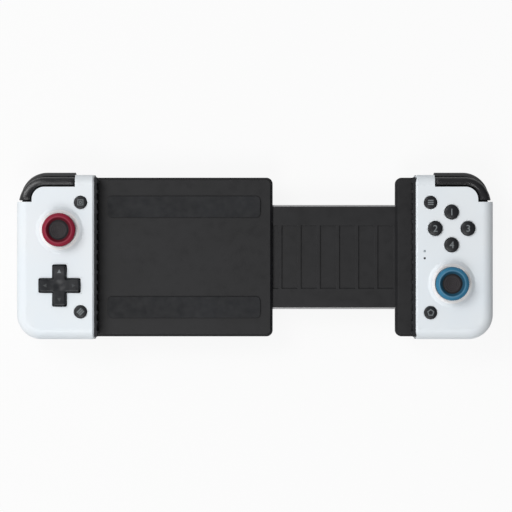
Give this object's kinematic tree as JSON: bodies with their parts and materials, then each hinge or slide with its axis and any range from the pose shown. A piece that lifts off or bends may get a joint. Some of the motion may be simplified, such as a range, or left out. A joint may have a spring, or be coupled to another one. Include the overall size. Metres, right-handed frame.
{
  "type": "telescopic mobile game controller",
  "caption": "White two-grip game controller that slides apart along a flat bridge to hold a phone, with sticks, a cross, round buttons, bumpers and triggers.",
  "frame": {"origin": "middle of the whole part's box at the height that its back rests on", "axes": "+X along the controller to its right grip, +Y to the shoulder buttons, +Z out of the face"},
  "size_m": [0.2274, 0.0798, 0.038],
  "materials": {
    "shell_white": "fine matte",
    "inner_black": "matte",
    "bumper_dark": "satin",
    "trigger_grey": "fine matte",
    "button_dark": "satin",
    "stick_rubber": "matte",
    "ring_red": "matte",
    "ring_blue": "matte",
    "pad_rubber": "matte",
    "dome_rubber": "matte",
    "tray_black": "fine matte",
    "slider_black": "satin",
    "steel": "brushed",
    "board_green": "satin",
    "battery_wrap": "satin",
    "ribbon_film": "satin",
    "light_clear": "clear"
  },
  "bodies": {
    "left_grip": {"left_front_shell": "shell_white", "left_back_shell": "shell_white", "left_shoulder_bracket": "inner_black", "left_trigger_pin": "steel", "left_stick_module": "steel", "dpad_membrane": "dome_rubber", "left_button_domes": "dome_rubber", "left_board": "board_green", "battery": "battery_wrap", "left_grip_screws": "steel", "left_end_pad": "pad_rubber", "tray_deck": "tray_black", "tray_cover": "tray_black", "tray_pads": "pad_rubber", "tray_screws": "steel", "bridge_springs": "steel", "tray_ribbon": "ribbon_film"},
    "right_grip": {"right_front_shell": "shell_white", "right_back_shell": "shell_white", "right_shoulder_bracket": "inner_black", "right_trigger_pin": "steel", "right_stick_module": "steel", "face_button_membrane": "dome_rubber", "right_button_domes": "dome_rubber", "right_board": "board_green", "right_grip_screws": "steel", "right_end_pad": "pad_rubber", "right_tray_end": "tray_black", "slider_plate": "slider_black", "slider_rails": "steel", "slider_ribbon": "ribbon_film", "light_pipes": "light_clear", "charging_socket": "steel"},
    "left_bumper": {"left_bumper": "bumper_dark"},
    "left_trigger": {"left_trigger": "trigger_grey"},
    "left_stick_click": {"left_stick_cradle": "inner_black"},
    "left_stick_frame": {"left_stick_yoke": "inner_black"},
    "left_stick": {"left_stick_cap": "stick_rubber", "left_stick_ring": "ring_red"},
    "right_bumper": {"right_bumper": "bumper_dark"},
    "right_trigger": {"right_trigger": "trigger_grey"},
    "right_stick_click": {"right_stick_cradle": "inner_black"},
    "right_stick_frame": {"right_stick_yoke": "inner_black"},
    "right_stick": {"right_stick_cap": "stick_rubber", "right_stick_ring": "ring_blue"},
    "face_button_top": {"face_button_top": "button_dark"},
    "face_button_left": {"face_button_left": "button_dark"},
    "face_button_right": {"face_button_right": "button_dark"},
    "face_button_bottom": {"face_button_bottom": "button_dark"},
    "left_upper_button": {"left_upper_button": "button_dark"},
    "left_lower_button": {"left_lower_button": "button_dark"},
    "right_upper_button": {"right_upper_button": "button_dark"},
    "right_lower_button": {"right_lower_button": "button_dark"},
    "dpad_frame": {"dpad_pivot": "inner_black"},
    "dpad": {"dpad": "button_dark"}
  },
  "joints": [
    {"name": "bridge_slide", "type": "slide", "parent": "left_grip", "child": "right_grip", "axis": [1, 0, 0], "range_m": [-0.047, 0.0235], "deforming": ["bridge_springs"]},
    {"name": "left_bumper_press", "type": "hinge", "parent": "left_grip", "child": "left_bumper", "pos_m": [-0.0887, 0.0354, 0.0246], "axis": [0, 0, 1], "range_deg": [0, 1.2], "stiffness_Nm_per_rad": 0.8, "springref_deg": -1.15},
    {"name": "left_trigger_pull", "type": "hinge", "parent": "left_grip", "child": "left_trigger", "pos_m": [-0.0936, 0.0356, 0.0156], "axis": [-1, 0, 0], "range_deg": [0, 7], "stiffness_Nm_per_rad": 0.1, "springref_deg": -2.86},
    {"name": "left_stick_click", "type": "slide", "parent": "left_grip", "child": "left_stick_click", "axis": [0, 0, -1], "range_m": [0, 0.0005], "stiffness_N_per_m": 1500, "springref_m": -0.0006},
    {"name": "left_stick_up_down", "type": "hinge", "parent": "left_stick_click", "child": "left_stick_frame", "pos_m": [-0.0931, 0.0121, 0.0215], "axis": [1, 0, 0], "range_deg": [-16, 16], "stiffness_Nm_per_rad": 0.03},
    {"name": "left_stick_left_right", "type": "hinge", "parent": "left_stick_frame", "child": "left_stick", "pos_m": [-0.0931, 0.0121, 0.0215], "axis": [0, 1, 0], "range_deg": [-16, 16], "stiffness_Nm_per_rad": 0.03},
    {"name": "right_bumper_press", "type": "hinge", "parent": "right_grip", "child": "right_bumper", "pos_m": [0.0887, 0.0354, 0.0246], "axis": [0, 0, -1], "range_deg": [0, 1.2], "stiffness_Nm_per_rad": 0.8, "springref_deg": -1.15},
    {"name": "right_trigger_pull", "type": "hinge", "parent": "right_grip", "child": "right_trigger", "pos_m": [0.0936, 0.0356, 0.0156], "axis": [-1, 0, 0], "range_deg": [0, 7], "stiffness_Nm_per_rad": 0.1, "springref_deg": -2.86},
    {"name": "right_stick_click", "type": "slide", "parent": "right_grip", "child": "right_stick_click", "axis": [0, 0, -1], "range_m": [0, 0.0005], "stiffness_N_per_m": 1500, "springref_m": -0.0006},
    {"name": "right_stick_up_down", "type": "hinge", "parent": "right_stick_click", "child": "right_stick_frame", "pos_m": [0.0937, -0.0135, 0.0215], "axis": [1, 0, 0], "range_deg": [-16, 16], "stiffness_Nm_per_rad": 0.03},
    {"name": "right_stick_left_right", "type": "hinge", "parent": "right_stick_frame", "child": "right_stick", "pos_m": [0.0937, -0.0135, 0.0215], "axis": [0, 1, 0], "range_deg": [-16, 16], "stiffness_Nm_per_rad": 0.03},
    {"name": "face_button_top_press", "type": "slide", "parent": "right_grip", "child": "face_button_top", "axis": [0, 0, -1], "range_m": [0, 0.001], "stiffness_N_per_m": 900, "springref_m": -0.0006},
    {"name": "face_button_left_press", "type": "slide", "parent": "right_grip", "child": "face_button_left", "axis": [0, 0, -1], "range_m": [0, 0.001], "stiffness_N_per_m": 900, "springref_m": -0.0006},
    {"name": "face_button_right_press", "type": "slide", "parent": "right_grip", "child": "face_button_right", "axis": [0, 0, -1], "range_m": [0, 0.001], "stiffness_N_per_m": 900, "springref_m": -0.0006},
    {"name": "face_button_bottom_press", "type": "slide", "parent": "right_grip", "child": "face_button_bottom", "axis": [0, 0, -1], "range_m": [0, 0.001], "stiffness_N_per_m": 900, "springref_m": -0.0006},
    {"name": "left_upper_button_press", "type": "slide", "parent": "left_grip", "child": "left_upper_button", "axis": [0, 0, -1], "range_m": [0, 0.0006], "stiffness_N_per_m": 1500, "springref_m": -0.0006},
    {"name": "left_lower_button_press", "type": "slide", "parent": "left_grip", "child": "left_lower_button", "axis": [0, 0, -1], "range_m": [0, 0.0006], "stiffness_N_per_m": 1500, "springref_m": -0.0006},
    {"name": "right_upper_button_press", "type": "slide", "parent": "right_grip", "child": "right_upper_button", "axis": [0, 0, -1], "range_m": [0, 0.0006], "stiffness_N_per_m": 1500, "springref_m": -0.0006},
    {"name": "right_lower_button_press", "type": "slide", "parent": "right_grip", "child": "right_lower_button", "axis": [0, 0, -1], "range_m": [0, 0.0006], "stiffness_N_per_m": 1500, "springref_m": -0.0006},
    {"name": "dpad_up_down", "type": "hinge", "parent": "left_grip", "child": "dpad_frame", "pos_m": [-0.0931, -0.0144, 0.0244], "axis": [1, 0, 0], "range_deg": [-4, 4], "stiffness_Nm_per_rad": 0.15},
    {"name": "dpad_left_right", "type": "hinge", "parent": "dpad_frame", "child": "dpad", "pos_m": [-0.0931, -0.0144, 0.0244], "axis": [0, 1, 0], "range_deg": [-4, 4], "stiffness_Nm_per_rad": 0.15}
  ]
}
